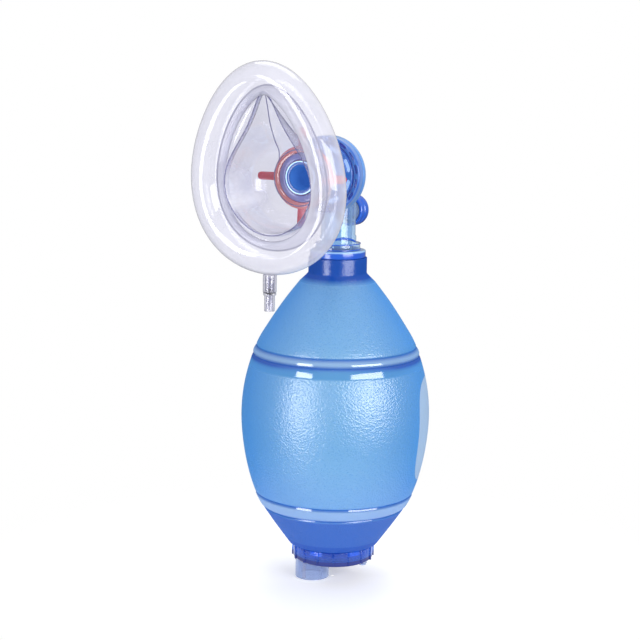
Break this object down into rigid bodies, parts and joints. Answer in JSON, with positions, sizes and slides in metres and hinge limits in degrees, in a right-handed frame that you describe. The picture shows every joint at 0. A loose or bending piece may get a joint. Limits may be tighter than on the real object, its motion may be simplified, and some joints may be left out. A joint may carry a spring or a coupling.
{
  "type": "bag valve mask",
  "caption": "Hand-squeezed resuscitator: translucent blue bag, swivelling patient valve with pop-off, and a clear face mask with an inflated cushion and red strap hooks.",
  "frame": {"origin": "centre of the squeeze bag, on its axis at its widest height, where a hand grips it", "axes": "+Z along the bag's axis towards the patient valve, -Y the way the patient port and mask face at rest, +X to the right of someone who faces the mask's open side"},
  "size_m": [0.1298, 0.1797, 0.3589],
  "materials": {
    "bag_vinyl": "translucent sky-blue vinyl with a fine leathery grain",
    "deep_blue": "glossy translucent deep blue moulding",
    "valve_blue": "glossy translucent blue moulding",
    "clear_plastic": "water-clear polycarbonate, polished",
    "mask_vinyl": "clear soft vinyl with a faint lavender tint",
    "hook_red": "glossy red moulding",
    "silicone": "satin blue silicone",
    "black_plastic": "matt black moulding",
    "spring_steel": "drawn spring wire"
  },
  "bodies": {
    "bag": {"squeeze_bag": "bag_vinyl", "neck_adaptor": "deep_blue", "intake_cap": "deep_blue", "reservoir_port_plate": "clear_plastic", "intake_gasket": "silicone", "intake_valve_seat": "clear_plastic"},
    "intake_flap": {"intake_flap": "silicone"},
    "valve": {"neck_seal_ring": "silicone", "inlet_body": "clear_plastic", "valve_back_shell": "valve_blue", "valve_front_cover": "valve_blue", "exhale_seat": "clear_plastic", "popoff_cap": "deep_blue", "popoff_spring": "spring_steel"},
    "duckbill": {"duckbill_valve": "silicone"},
    "exhale_diaphragm": {"exhale_diaphragm": "silicone"},
    "popoff_poppet": {"popoff_poppet": "silicone"},
    "patient_port": {"patient_port": "valve_blue"},
    "mask": {"mask_dome": "mask_vinyl", "mask_cushion": "mask_vinyl", "inflation_sleeve": "mask_vinyl", "inflation_valve_body": "clear_plastic", "inflation_spring": "spring_steel"},
    "hook_ring": {"hook_ring": "hook_red"},
    "inflation_poppet": {"inflation_poppet": "black_plastic"}
  },
  "joints": [
    {"name": "valve_swivel", "type": "hinge", "parent": "bag", "child": "valve", "pos_m": [0, 0, 0.108], "axis": [0, 0, 1], "continuous": true},
    {"name": "port_swivel", "type": "hinge", "parent": "valve", "child": "patient_port", "pos_m": [0, -0.02, 0.165], "axis": [0, -1, 0], "continuous": true},
    {"name": "mask_pull_off", "type": "slide", "parent": "patient_port", "child": "mask", "axis": [0, -1, 0], "range_m": [0, 0.02]},
    {"name": "hook_ring_turn", "type": "hinge", "parent": "mask", "child": "hook_ring", "pos_m": [0, -0.048, 0.165], "axis": [0, -1, 0], "continuous": true},
    {"name": "duckbill_shift", "type": "slide", "parent": "valve", "child": "duckbill", "axis": [0, -1, 0], "range_m": [0, 0.0024], "stiffness_N_per_m": 40, "springref_m": -0.0006},
    {"name": "exhale_lift", "type": "slide", "parent": "valve", "child": "exhale_diaphragm", "axis": [0, -1, 0], "range_m": [0, 0.001], "stiffness_N_per_m": 30, "springref_m": -0.0004},
    {"name": "popoff_lift", "type": "slide", "parent": "valve", "child": "popoff_poppet", "axis": [0, 1, 0], "range_m": [0, 0.0025], "stiffness_N_per_m": 200, "springref_m": -0.0016, "deforming": ["popoff_spring"]},
    {"name": "intake_flap_lift", "type": "slide", "parent": "bag", "child": "intake_flap", "axis": [0, 0, 1], "range_m": [0, 0.002], "stiffness_N_per_m": 20, "springref_m": -0.0008},
    {"name": "inflation_poppet_push", "type": "slide", "parent": "mask", "child": "inflation_poppet", "axis": [0, 0, 1], "range_m": [0, 0.002], "stiffness_N_per_m": 300, "springref_m": -0.001, "deforming": ["inflation_spring"]}
  ]
}
